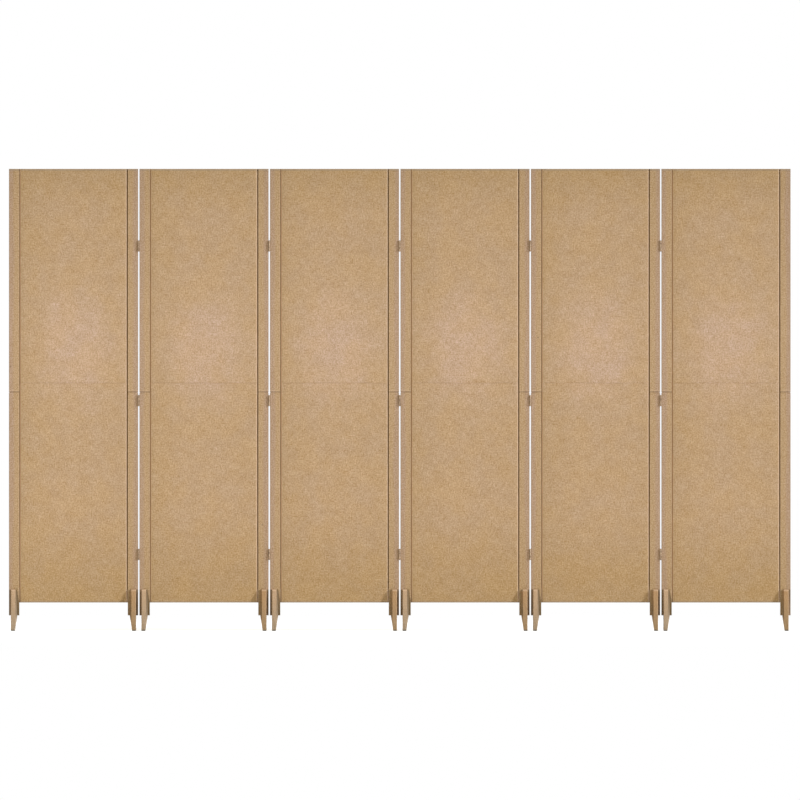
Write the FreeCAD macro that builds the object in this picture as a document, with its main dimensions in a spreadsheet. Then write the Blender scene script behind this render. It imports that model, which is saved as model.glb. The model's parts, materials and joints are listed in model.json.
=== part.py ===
import FreeCAD, Part
import os
import Sketcher

# Folding screen of six flat panels in a row, each on its own two feet.
# Every panel is two stiles with two infill boards tongued between them. Stiles and boards come in an
# upper and a lower half, so that the screen packs into a short box. The stile halves join on a square
# spigot, and the boards join higher up, so that the lower board splints the joint in the stiles.
# Three double-acting hinges close each gap: a leaf screwed to either panel edge, a centre leaf between
# them, one pin in front of the panels and one behind them.
# The origin is on the floor under the middle of the screen, X along it, -Y to the front and Z up.

SIZES = {
    "panel_count": 6,
    "panel_pitch": 508,
    "panel_gap": 5.5,
    "screen_height": 1798,
    "stile_width": 40,
    "stile_depth": 22,
    "stile_chamfer": 0.8,
    "stile_seam_height": 927,
    "seam_reveal_height": 2.5,
    "seam_reveal_inset": 1.5,
    "spigot_width": 12,
    "spigot_length": 30,
    "spigot_setback": 17,
    "spigot_clearance": 0.1,
    "spigot_end_room": 1,
    "infill_bottom_rise": 50,
    "infill_seam_rise": 37,
    "infill_depth": 17,
    "infill_chamfer": 1,
    "shadow_gap": 4.5,
    "tongue_depth": 8,
    "tongue_reach": 9,
    "tongue_clearance": 0.1,
    "tongue_end_room": 0.5,
    "seam_tongue_height": 8,
    "foot_width": 24,
    "foot_height": 161,
    "foot_notch_height": 60,
    "foot_reach": 50,
    "foot_shoulder_depth": 8,
    "foot_nose_height": 26,
    "foot_toe_width": 14.6,
    "foot_clearance": 0.05,
    "foot_inner_chamfer": 6.5,
    "foot_outer_round": 2.5,
    "foot_shoulder_round": 7,
    "hinge_height": 41,
    "hinge_top_drop": 300,
    "hinge_middle_drop": 31,
    "hinge_bottom_rise": 237,
    "hinge_leaf": 1.2,
    "hinge_centre_leaf": 1.2,
    "hinge_pin_proud": 2.8,
    "hinge_pin_radius": 1.6,
    "hinge_pin_clearance": 0.05,
    "hinge_pin_head_radius": 2.6,
    "hinge_pin_head_height": 1.4,
    "hinge_play": 0.1,
    "hinge_screw_spacing": 25,
    "screw_radius": 1.4,
    "screw_head_radius": 2.7,
    "screw_length": 13,
    "screw_clearance": 0.05,
    "screw_point_length": 3,
    "cut_overrun": 1,
}

# Each end knuckle takes this share of a hinge's height, and the centre leaf's knuckle has the rest.
END_KNUCKLE_SHARE = 0.25
# The flat tip of a screw's point and the crown of a pin's head, as shares of their full radius.
SCREW_TIP_SHARE = 0.2
PIN_CROWN_SHARE = 0.6

STILE_BOTTOM = "Sizes.foot_notch_height"
STILE_SEAM = "Sizes.stile_seam_height"
INFILL_BOTTOM = "(Sizes.foot_notch_height + Sizes.infill_bottom_rise)"
INFILL_SEAM = "(Sizes.stile_seam_height + Sizes.infill_seam_rise)"
SCREEN_TOP = "Sizes.screen_height"
HINGE_HEIGHTS = ["(Sizes.foot_notch_height + Sizes.hinge_bottom_rise)",
                 "(Sizes.stile_seam_height - Sizes.hinge_middle_drop)",
                 "(Sizes.screen_height - Sizes.hinge_top_drop)"]
PANEL_WIDTH = "(Sizes.panel_pitch - Sizes.panel_gap)"
HALF_GAP = "(Sizes.panel_gap / 2)"
HALF_STILE = "(Sizes.stile_depth / 2)"
HALF_BOARD = "(Sizes.infill_depth / 2)"
HALF_TONGUE = "(Sizes.tongue_depth / 2)"
PIN_DEPTH = "(Sizes.stile_depth / 2 + Sizes.hinge_pin_proud)"
GROOVE_DEPTH = "(Sizes.tongue_reach + Sizes.tongue_end_room)"
BOARD_START = "(Sizes.stile_width + Sizes.shadow_gap)"
TONGUE_START = "(Sizes.stile_width - Sizes.tongue_reach)"
FOOT_START = "((Sizes.stile_width - Sizes.foot_width) / 2)"
FOOT_NOSE = "(Sizes.stile_depth / 2 + Sizes.foot_reach)"

document = FreeCAD.newDocument("FoldingScreen")
sheet = document.addObject("Spreadsheet::Sheet", "Sizes")
nodes = []


def fill_sheet():
    """One row per driving size: its name beside its value."""
    for row, (alias, number) in enumerate(SIZES.items(), start=1):
        sheet.set(f"A{row}", alias)
        sheet.set(f"B{row}", str(number))
        sheet.setAlias(f"B{row}", alias)
    document.recompute()


# Sketches and solid features

def new_body(name):
    return document.addObject("PartDesign::Body", name)


def attach(sketch, body, role, offset):
    plane = next(item for item in body.Origin.OriginFeatures if item.Role == role)
    sketch.AttachmentSupport = [(plane, "")]
    sketch.MapMode = "FlatFace"
    sketch.setExpression("AttachmentOffset.Base.z", offset)


def hold(sketch, kind, geometry, point, expression):
    """Ties one coordinate of a sketch point to the sizes."""
    number = float(sketch.evalExpression(expression))
    index = sketch.addConstraint(Sketcher.Constraint(kind, -1, 1, geometry, point, number))
    sketch.setExpression(f"Constraints[{index}]", expression)


def outline(body, name, role, offset, corners):
    """A closed outline of straight lines, each corner at named distances from the body's origin."""
    sketch = body.newObject("Sketcher::SketchObject", name)
    attach(sketch, body, role, offset)
    points = [FreeCAD.Vector(sketch.evalExpression(across), sketch.evalExpression(up), 0)
              for across, up in corners]
    for start, end in zip(points, points[1:] + points[:1]):
        sketch.addGeometry(Part.LineSegment(start, end))
    for index, (across, up) in enumerate(corners):
        following = (index + 1) % len(corners)
        sketch.addConstraint(Sketcher.Constraint("Coincident", index, 2, following, 1))
        hold(sketch, "DistanceX", index, 1, across)
        hold(sketch, "DistanceY", index, 1, up)
    return sketch


def rectangle(body, name, role, offset, left, right, low, high):
    return outline(body, name, role, offset, [(left, low), (right, low), (right, high), (left, high)])


def circles(body, name, role, offset, radius, centres):
    sketch = body.newObject("Sketcher::SketchObject", name)
    attach(sketch, body, role, offset)
    for index, (across, up) in enumerate(centres):
        centre = FreeCAD.Vector(sketch.evalExpression(across), sketch.evalExpression(up), 0)
        size = float(sketch.evalExpression(radius))
        sketch.addGeometry(Part.Circle(centre, FreeCAD.Vector(0, 0, 1), size))
        hold(sketch, "DistanceX", index, 3, across)
        hold(sketch, "DistanceY", index, 3, up)
        held = sketch.addConstraint(Sketcher.Constraint("Radius", index, size))
        sketch.setExpression(f"Constraints[{held}]", radius)
    return sketch


def extrude(body, kind, name, sketch, length, backwards=False):
    """A Pad runs along the sketch's normal and a Pocket against it, unless it is turned backwards."""
    feature = body.newObject(f"PartDesign::{kind}", name)
    feature.Profile = sketch
    feature.setExpression("Length", length)
    feature.Reversed = backwards
    return feature


def edges_where(feature, wanted):
    """Names of the feature's edges whose bounding box passes a test."""
    document.recompute()
    shape = feature.Shape
    return [f"Edge{index}" for index, edge in enumerate(shape.Edges, start=1)
            if wanted(edge.BoundBox)]


def dress(body, kind, name, base, edges, size):
    feature = body.newObject(f"PartDesign::{kind}", name)
    feature.Base = (base, edges)
    feature.setExpression("Radius" if kind == "Fillet" else "Size", size)
    return feature


# Primitives and booleans

def place(item, x, y, z):
    for axis, expression in zip("xyz", (x, y, z)):
        item.setExpression(f"Placement.Base.{axis}", expression)


def box(name, x, y, z, length, width, height):
    item = document.addObject("Part::Box", name)
    for side, expression in (("Length", length), ("Width", width), ("Height", height)):
        item.setExpression(side, expression)
    place(item, x, y, z)
    return item


def rod(name, radius, height, x, y, z, rotation=None):
    item = document.addObject("Part::Cylinder", name)
    item.setExpression("Radius", radius)
    item.setExpression("Height", height)
    if rotation:
        item.Placement.Rotation = rotation
    place(item, x, y, z)
    return item


def cone(name, start_radius, end_radius, height, x, y, z, rotation=None):
    item = document.addObject("Part::Cone", name)
    item.setExpression("Radius1", start_radius)
    item.setExpression("Radius2", end_radius)
    item.setExpression("Height", height)
    if rotation:
        item.Placement.Rotation = rotation
    place(item, x, y, z)
    return item


def fuse(name, shapes):
    item = document.addObject("Part::MultiFuse", name)
    item.Shapes = shapes
    item.Refine = True
    return item


def cut(name, base, tools):
    item = document.addObject("Part::Cut", name)
    item.Base = base
    item.Tool = tools[0] if len(tools) == 1 else fuse(name + "Tools", tools)
    return item


def mirrored(source, name):
    """The same piece on the other side of a panel's middle."""
    item = document.addObject("Part::Mirroring", name)
    item.Source = source
    item.Normal = FreeCAD.Vector(1, 0, 0)
    item.setExpression("Base.x", f"{PANEL_WIDTH} / 2")
    return item


def copy_at(source, name, x, y, z, half_turn=False):
    item = document.addObject("App::Link", name)
    item.LinkedObject = source
    if half_turn:
        item.Placement.Rotation = FreeCAD.Rotation(FreeCAD.Vector(0, 0, 1), 180)
    place(item, x, y, z)
    return item


def node(name, pieces, x):
    """A sub-part of the screen: its solids, carried from their own frame to their place in the row."""
    item = document.addObject("Part::Compound", name)
    item.Label = name
    item.Links = pieces
    item.setExpression("Placement.Base.x", x)
    nodes.append(item)


# The pieces, each in the frame of one panel: X from its left edge, Y from the middle of its depth

def stile_half(name, low, high, hinges):
    """A left stile's stock from one height to another, with a pilot hole for each hinge screw."""
    body = new_body(name)
    bevel = "Sizes.stile_chamfer"
    width = "Sizes.stile_width"
    corners = []
    for side, sign in (("-", 1), ("", -1)):
        face = f"{side}{HALF_STILE}"
        edge = f"{face} + {sign} * {bevel}"
        pair = [("0", edge), (bevel, face), (f"{width} - {bevel}", face), (width, edge)]
        corners += pair if sign > 0 else pair[::-1]
    profile = outline(body, name + "Profile", "XY_Plane", low, corners)
    extrude(body, "Pad", name + "Stock", profile, f"{high} - {low}")
    if hinges:
        reach = "Sizes.hinge_screw_spacing / 2"
        centres = [("0", f"{hinge} {sign} {reach}") for hinge in hinges for sign in "-+"]
        pilots = circles(body, name + "PilotCircles", "YZ_Plane", "0",
                         "Sizes.screw_radius + Sizes.screw_clearance", centres)
        extrude(body, "Pocket", name + "Pilots", pilots, "Sizes.screw_length", backwards=True)
    return body


def add_reveal(body, low):
    """The narrow neck at the foot of an upper stile, which shows as a dark line at the joint."""
    inset = "Sizes.seam_reveal_inset"
    neck = rectangle(body, body.Name + "RevealOutline", "XY_Plane", low,
                     inset, f"Sizes.stile_width - {inset}",
                     f"-{HALF_STILE} + {inset}", f"{HALF_STILE} - {inset}")
    extrude(body, "Pad", body.Name + "Reveal", neck, "Sizes.seam_reveal_height", backwards=True)


def cut_groove(body, low, high):
    """The groove in a stile's inner edge that takes the infill's tongue."""
    half_width = f"({HALF_TONGUE} + Sizes.tongue_clearance)"
    groove = rectangle(body, body.Name + "GrooveOutline", "XY_Plane", high,
                       f"Sizes.stile_width - {GROOVE_DEPTH}", "Sizes.stile_width + Sizes.cut_overrun",
                       f"-{half_width}", half_width)
    extrude(body, "Pocket", body.Name + "Groove", groove, f"{high} - {low}")


def spigot_outline(body, name, clearance):
    half_width = "(Sizes.spigot_width / 2)"
    return rectangle(body, body.Name + name, "XY_Plane", STILE_SEAM,
                     f"Sizes.spigot_setback - {clearance}",
                     f"Sizes.spigot_setback + Sizes.spigot_width + {clearance}",
                     f"-{half_width} - {clearance}", f"{half_width} + {clearance}")


def stile_upper(name, hinged):
    low = f"{STILE_SEAM} + Sizes.seam_reveal_height"
    body = stile_half(name, f"({low})", SCREEN_TOP, HINGE_HEIGHTS[2:] if hinged else [])
    add_reveal(body, low)
    cut_groove(body, STILE_SEAM, SCREEN_TOP)
    spigot = spigot_outline(body, "SpigotOutline", "0")
    extrude(body, "Pad", name + "Spigot", spigot, "Sizes.spigot_length", backwards=True)
    return body


def stile_lower(name, hinged):
    body = stile_half(name, STILE_BOTTOM, STILE_SEAM, HINGE_HEIGHTS[:2] if hinged else [])
    cut_groove(body, INFILL_BOTTOM, STILE_SEAM)
    socket = spigot_outline(body, "SocketOutline", "Sizes.spigot_clearance")
    extrude(body, "Pocket", name + "Socket", socket, "Sizes.spigot_length + Sizes.spigot_end_room")
    return body


def board(name, low, high):
    """An infill board: full depth between the shadow gaps, thinned to a tongue along both sides."""
    body = new_body(name)
    bevel = "Sizes.infill_chamfer"
    far_start = f"({PANEL_WIDTH} - {BOARD_START})"
    far_tongue = f"({PANEL_WIDTH} - {TONGUE_START})"
    corners = [(TONGUE_START, f"-{HALF_TONGUE}"), (BOARD_START, f"-{HALF_TONGUE}"),
               (BOARD_START, f"-{HALF_BOARD} + {bevel}"), (f"{BOARD_START} + {bevel}", f"-{HALF_BOARD}"),
               (f"{far_start} - {bevel}", f"-{HALF_BOARD}"), (far_start, f"-{HALF_BOARD} + {bevel}"),
               (far_start, f"-{HALF_TONGUE}"), (far_tongue, f"-{HALF_TONGUE}"),
               (far_tongue, HALF_TONGUE), (far_start, HALF_TONGUE),
               (far_start, f"{HALF_BOARD} - {bevel}"), (f"{far_start} - {bevel}", HALF_BOARD),
               (f"{BOARD_START} + {bevel}", HALF_BOARD), (BOARD_START, f"{HALF_BOARD} - {bevel}"),
               (BOARD_START, HALF_TONGUE), (TONGUE_START, HALF_TONGUE)]
    profile = outline(body, name + "Profile", "XY_Plane", low, corners)
    extrude(body, "Pad", name + "Stock", profile, f"{high} - {low}")
    return body


def seam_outline(body, name, clearance):
    """The strip along the seam where the lower board's tongue enters the upper board."""
    half_width = f"({HALF_TONGUE} + {clearance})"
    return rectangle(body, body.Name + name, "XY_Plane", INFILL_SEAM,
                     f"{TONGUE_START} - {clearance}", f"{PANEL_WIDTH} - {TONGUE_START} + {clearance}",
                     f"-{half_width}", half_width)


def board_upper(name):
    body = board(name, INFILL_SEAM, SCREEN_TOP)
    groove = seam_outline(body, "SeamGrooveOutline", "Sizes.tongue_clearance")
    extrude(body, "Pocket", name + "SeamGroove", groove,
            "Sizes.seam_tongue_height + Sizes.tongue_end_room", backwards=True)
    return body


def board_lower(name):
    body = board(name, INFILL_BOTTOM, INFILL_SEAM)
    tongue = seam_outline(body, "SeamTongueOutline", "0")
    extrude(body, "Pad", name + "SeamTongue", tongue, "Sizes.seam_tongue_height")
    return body


def foot(name):
    """A left foot: a board across the stile, forked round it, with sloping noses and a tapered toe."""
    body = new_body(name)
    notch = f"({HALF_STILE} + Sizes.foot_clearance)"
    shoulder = f"({HALF_STILE} + Sizes.foot_shoulder_depth)"
    half = [(notch, STILE_BOTTOM), (notch, "Sizes.foot_height"),
            (shoulder, "Sizes.foot_height"), (FOOT_NOSE, "Sizes.foot_nose_height"), (FOOT_NOSE, "0")]
    corners = [(f"-{across}", up) for across, up in half] + half[::-1]
    profile = outline(body, name + "Profile", "YZ_Plane", FOOT_START, corners)
    stock = extrude(body, "Pad", name + "Stock", profile, "Sizes.foot_width")
    outer = (sheet.stile_width - sheet.foot_width) / 2
    inner = outer + sheet.foot_width
    half_depth = sheet.stile_depth / 2 + sheet.foot_clearance

    def outside(span):
        return min(abs(span.YMin), abs(span.YMax)) > half_depth + sheet.foot_clearance

    def rises(span):
        return span.ZLength > span.XLength and outside(span)

    def at(number, target):
        return abs(number - target) < sheet.foot_clearance

    shoulders = edges_where(stock, lambda span: span.XLength > span.YLength and outside(span)
                            and at(span.ZMin, sheet.foot_height))
    rounded = dress(body, "Fillet", name + "Shoulders", stock, shoulders, "Sizes.foot_shoulder_round")
    inner_edges = edges_where(rounded, lambda span: rises(span) and at(span.XMin, inner))
    bevelled = dress(body, "Chamfer", name + "InnerBevels", rounded, inner_edges, "Sizes.foot_inner_chamfer")
    outer_edges = edges_where(bevelled, lambda span: rises(span) and at(span.XMax, outer))
    dress(body, "Fillet", name + "OuterRounds", bevelled, outer_edges, "Sizes.foot_outer_round")
    past = "Sizes.cut_overrun"
    inner_face = f"({FOOT_START} + Sizes.foot_width)"
    taper = outline(body, name + "TaperOutline", "XZ_Plane", f"-{FOOT_NOSE} - {past}",
                    [(f"{FOOT_START} + Sizes.foot_toe_width", "0"), (inner_face, "0"),
                     (inner_face, STILE_BOTTOM)])
    extrude(body, "Pocket", name + "Taper", taper, f"2 * ({FOOT_NOSE} + {past})", backwards=True)
    return body


# The hinges, in the frame of one gap: X and Y from its middle, Z from the hinge's middle

ALONG_X = FreeCAD.Rotation(FreeCAD.Vector(0, 1, 0), 90)
AGAINST_X = FreeCAD.Rotation(FreeCAD.Vector(0, 1, 0), -90)
HINGE_BOTTOM = "(-Sizes.hinge_height / 2)"
END_KNUCKLE = f"({END_KNUCKLE_SHARE} * Sizes.hinge_height - Sizes.hinge_play / 2)"
LEAF_REACH = f"({PIN_DEPTH} - {HALF_GAP} - Sizes.hinge_play)"


def side_leaf():
    """The leaf on the edge of the panel to the left, with an end knuckle at top and bottom."""
    plate = box("SideLeafPlate", f"-{HALF_GAP}", f"-{LEAF_REACH}", HINGE_BOTTOM,
                "Sizes.hinge_leaf", f"2 * {LEAF_REACH}", "Sizes.hinge_height")
    pieces = [plate]
    for end, low in (("Low", HINGE_BOTTOM), ("High", f"-{HINGE_BOTTOM} - {END_KNUCKLE}")):
        pieces.append(rod(f"SideKnuckle{end}", HALF_GAP, END_KNUCKLE, "0", f"-{PIN_DEPTH}", low))
        pieces.append(box(f"SideArm{end}", f"-{HALF_GAP}", f"-{PIN_DEPTH}", low,
                          "Sizes.hinge_leaf", f"{PIN_DEPTH} - {LEAF_REACH}", END_KNUCKLE))
    tools = [pin_bore("SideBore", f"-{PIN_DEPTH}")]
    for end, sign in (("Low", "-"), ("High", "")):
        height = f"{sign}Sizes.hinge_screw_spacing / 2"
        tools.append(cone(f"SideSink{end}", "Sizes.screw_radius", "Sizes.screw_head_radius",
                          "Sizes.hinge_leaf", f"-{HALF_GAP}", "0", height, ALONG_X))
    return cut("SideLeaf", fuse("SideLeafStock", pieces), tools)


def centre_leaf():
    """The loose leaf between the other two, with the middle knuckle of both pins."""
    low = f"{HINGE_BOTTOM} + {END_KNUCKLE} + Sizes.hinge_play"
    height = f"(Sizes.hinge_height - 2 * ({END_KNUCKLE} + Sizes.hinge_play))"
    half = "(Sizes.hinge_centre_leaf / 2)"
    pieces = [box("CentreLeafPlate", f"-{half}", f"-{LEAF_REACH}", HINGE_BOTTOM,
                  "Sizes.hinge_centre_leaf", f"2 * {LEAF_REACH}", "Sizes.hinge_height"),
              box("CentreArms", f"-{half}", f"-{PIN_DEPTH}", low,
                  "Sizes.hinge_centre_leaf", f"2 * {PIN_DEPTH}", height)]
    tools = []
    for end, sign in (("Front", "-"), ("Rear", "")):
        pieces.append(rod(f"CentreKnuckle{end}", HALF_GAP, height, "0", f"{sign}{PIN_DEPTH}", low))
        tools.append(pin_bore(f"CentreBore{end}", f"{sign}{PIN_DEPTH}"))
    return cut("CentreLeaf", fuse("CentreLeafStock", pieces), tools)


def pin_bore(name, depth):
    past = "Sizes.cut_overrun"
    return rod(name, "Sizes.hinge_pin_radius + Sizes.hinge_pin_clearance",
               f"Sizes.hinge_height + 2 * {past}", "0", depth, f"{HINGE_BOTTOM} - {past}")


def hinge_pin():
    """A pin with a crowned head at each end, just clear of the end knuckles."""
    half = "(Sizes.hinge_height / 2 + Sizes.hinge_pin_clearance)"
    crown = f"{PIN_CROWN_SHARE} * Sizes.hinge_pin_head_radius"
    head = "Sizes.hinge_pin_head_height"
    return fuse("HingePin", [
        rod("PinShank", "Sizes.hinge_pin_radius", f"2 * {half}", "0", "0", f"-{half}"),
        cone("PinHeadHigh", "Sizes.hinge_pin_head_radius", crown, head, "0", "0", half),
        cone("PinHeadLow", crown, "Sizes.hinge_pin_head_radius", head, "0", "0", f"-{half} - {head}")])


def hinge_screw():
    """A countersunk screw that runs to the left from the face of the side leaf."""
    face = f"-{HALF_GAP} + Sizes.hinge_leaf"
    shank_end = f"{face} - Sizes.screw_length + Sizes.screw_point_length"
    tip = f"{SCREW_TIP_SHARE} * Sizes.screw_radius"
    return fuse("HingeScrew", [
        cone("ScrewHead", "Sizes.screw_head_radius", "Sizes.screw_radius", "Sizes.hinge_leaf",
             face, "0", "0", AGAINST_X),
        rod("ScrewShank", "Sizes.screw_radius", "Sizes.screw_length - Sizes.screw_point_length",
            face, "0", "0", AGAINST_X),
        cone("ScrewPoint", "Sizes.screw_radius", tip, "Sizes.screw_point_length",
             shank_end, "0", "0", AGAINST_X)])


def hinge_copies(source, name, x, y="0", half_turn=False):
    return [copy_at(source, f"{name}{level}", x, y, height, half_turn)
            for level, height in enumerate(HINGE_HEIGHTS, start=1)]


def screw_copies(source, name, x, half_turn=False):
    reach = "Sizes.hinge_screw_spacing / 2"
    return [copy_at(source, f"{name}{level}{end}", x, "0", f"{height} {sign} {reach}", half_turn)
            for level, height in enumerate(HINGE_HEIGHTS, start=1)
            for end, sign in (("Low", "-"), ("High", "+"))]


# The row of panels and the hinge links in the gaps between them

def build_screen():
    kinds = {True: "Hinged", False: "Plain"}
    uppers = {hinged: stile_upper(f"StileUpper{kind}", hinged) for hinged, kind in kinds.items()}
    lowers = {hinged: stile_lower(f"StileLower{kind}", hinged) for hinged, kind in kinds.items()}
    uppers_right = {hinged: mirrored(body, body.Name + "Right") for hinged, body in uppers.items()}
    lowers_right = {hinged: mirrored(body, body.Name + "Right") for hinged, body in lowers.items()}
    infill_upper = board_upper("InfillUpper")
    infill_lower = board_lower("InfillLower")
    foot_left = foot("Foot")
    foot_right = mirrored(foot_left, "FootRight")
    leaf = side_leaf()
    screw = hinge_screw()
    right_edge = f"{PANEL_WIDTH} + {HALF_GAP}"
    left_edge = f"-{HALF_GAP}"
    leaves_right = hinge_copies(leaf, "LeafRight", right_edge)
    leaves_left = hinge_copies(leaf, "LeafLeft", left_edge, half_turn=True)
    screws_right = screw_copies(screw, "ScrewRight", right_edge)
    screws_left = screw_copies(screw, "ScrewLeft", left_edge, half_turn=True)
    pin = hinge_pin()
    centre_leaves = hinge_copies(centre_leaf(), "CentreLeafCopy", "0")
    pins = [copy for side, sign in (("Front", "-"), ("Rear", ""))
            for copy in hinge_copies(pin, f"Pin{side}", "0", f"{sign}{PIN_DEPTH}")]
    count = int(sheet.panel_count)
    for index in range(count):
        to_left = index > 0
        to_right = index < count - 1
        name = f"panel_{index + 1}"
        x = f"({index} - Sizes.panel_count / 2) * Sizes.panel_pitch + {HALF_GAP}"
        node(f"{name}_stiles_upper", [uppers[to_left], uppers_right[to_right]], x)
        node(f"{name}_stiles_lower", [lowers[to_left], lowers_right[to_right]], x)
        node(f"{name}_infill_upper", [infill_upper], x)
        node(f"{name}_infill_lower", [infill_lower], x)
        node(f"{name}_foot_left", [foot_left], x)
        node(f"{name}_foot_right", [foot_right], x)
        node(f"{name}_hinge_leaves", leaves_left * to_left + leaves_right * to_right, x)
        node(f"{name}_hinge_screws", screws_left * to_left + screws_right * to_right, x)
        if to_right:
            gap_x = f"({index + 1} - Sizes.panel_count / 2) * Sizes.panel_pitch"
            node(f"hinge_{index + 1}_centre_leaves", centre_leaves, gap_x)
            node(f"hinge_{index + 1}_pins", pins, gap_x)


def check_document():
    document.recompute()
    for item in document.Objects:
        if "Invalid" in item.State or "Error" in item.State:
            raise RuntimeError(f"{item.Name} failed: {item.State}")
    for item in nodes:
        if item.Shape.isNull() or not item.Shape.isValid():
            raise RuntimeError(f"{item.Label} has no valid shape")


def export_nodes():
    os.makedirs("parts", exist_ok=True)
    for item in nodes:
        item.Shape.exportStep(f"parts/{item.Label}.step")


fill_sheet()
build_screen()
check_document()
export_nodes()
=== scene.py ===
"""A six-panel folding screen: cloth-faced boards between veneered stiles, bronze hinges and forked feet."""
import json
import math

import bpy
import numpy as np
from bpy.props import FloatProperty, FloatVectorProperty, IntProperty, PointerProperty
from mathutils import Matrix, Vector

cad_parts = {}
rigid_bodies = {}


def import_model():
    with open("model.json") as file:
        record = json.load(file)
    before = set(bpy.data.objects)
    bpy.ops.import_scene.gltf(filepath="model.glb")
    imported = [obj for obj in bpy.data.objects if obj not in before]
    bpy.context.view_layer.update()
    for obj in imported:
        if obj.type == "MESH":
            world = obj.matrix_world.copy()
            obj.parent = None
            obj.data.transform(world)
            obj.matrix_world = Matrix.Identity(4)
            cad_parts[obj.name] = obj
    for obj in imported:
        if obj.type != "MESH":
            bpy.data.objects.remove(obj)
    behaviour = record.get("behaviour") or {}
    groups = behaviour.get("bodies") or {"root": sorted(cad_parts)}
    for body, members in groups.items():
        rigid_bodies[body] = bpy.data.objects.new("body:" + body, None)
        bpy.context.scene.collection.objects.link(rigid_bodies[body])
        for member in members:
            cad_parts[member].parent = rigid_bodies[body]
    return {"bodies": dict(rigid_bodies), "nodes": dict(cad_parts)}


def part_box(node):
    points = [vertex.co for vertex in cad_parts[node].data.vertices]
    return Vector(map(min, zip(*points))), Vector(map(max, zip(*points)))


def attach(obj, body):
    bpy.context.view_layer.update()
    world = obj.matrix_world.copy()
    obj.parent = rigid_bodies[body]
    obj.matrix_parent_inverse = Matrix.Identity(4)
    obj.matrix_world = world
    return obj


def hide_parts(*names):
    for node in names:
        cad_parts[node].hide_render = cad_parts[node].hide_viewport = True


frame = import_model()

bl_info = {
    "name": "Folding screen",
    "version": (1, 0, 0),
    "blender": (4, 5, 0),
    "location": "View3D > Sidebar > Screen",
    "description": "Cloth, veneer and bronze for a folding screen, and the studio it stands in",
    "category": "Object",
}

PANEL_COUNT = sum(name.startswith("panel_") for name in frame["bodies"])
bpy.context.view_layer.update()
STILE_LOW, STILE_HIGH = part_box("panel_1_stiles_upper")
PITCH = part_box("panel_2_stiles_upper")[0].x - STILE_LOW.x
HALF_GAP = (PITCH - (STILE_HIGH.x - STILE_LOW.x)) / 2
BOARD_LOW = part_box("panel_1_infill_lower")[0]
BOARD_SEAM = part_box("panel_1_infill_upper")[0].z
BOARD_HALF = -BOARD_LOW.y
FOOT_LOW, FOOT_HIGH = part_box("panel_1_foot_left")
SCREEN_TOP = STILE_HIGH.z
STILE_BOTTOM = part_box("panel_1_stiles_lower")[0].z
STILE_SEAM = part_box("panel_1_stiles_lower")[1].z

# The paler, pinker cloud in the cloth, part of the painted pool of light: its middle's height, its place
# across a panel and its reach both ways
CLOUD_HEIGHT = 1.10
CLOUD_SIDE = 0.92 * PITCH / 2
CLOUD_REACH_ACROSS = 0.135
CLOUD_REACH_UP = 0.213

# Painted light falloff: where the cloth and the stiles are palest, as if lit most, and how far from there and
# from the ends they turn browner
LIGHT_POOL_HEIGHT = 1.13
LIGHT_POOL_REACH = 0.42
# A dark band along the top and bottom edges: painted shade at the bottom edge
DARK_EDGE = (0.30, 0.235, 0.165)

# The cloth's relief: slow waves, thick places in its threads, and the fade to nothing at the board's edges
WAVE_COUNT = 3
WAVE_WIDTHS = (0.16, 0.5)
WAVE_HEIGHTS = (0.12, 0.4)
SLUB_LENGTHS = (0.012, 0.045)
SLUB_WIDTHS = (0.0011, 0.0020)
SLUB_STRENGTHS = (0.3, 1.0)
RELIEF_FADE = 0.012
CLOTH_SHIFT = 0.61


def length(name, description, default):
    return FloatProperty(name=name, description=description, default=default,
                         min=0, unit="LENGTH", precision=5)


def share(name, description, default):
    return FloatProperty(name=name, description=description, default=default,
                         min=0, max=1, subtype="FACTOR")


def power(name, description, default):
    return FloatProperty(name=name, description=description, default=default, min=0)


def tint(name, description, default):
    return FloatVectorProperty(name=name, description=description, default=default,
                               min=0, max=1, size=3, subtype="COLOR")


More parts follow.
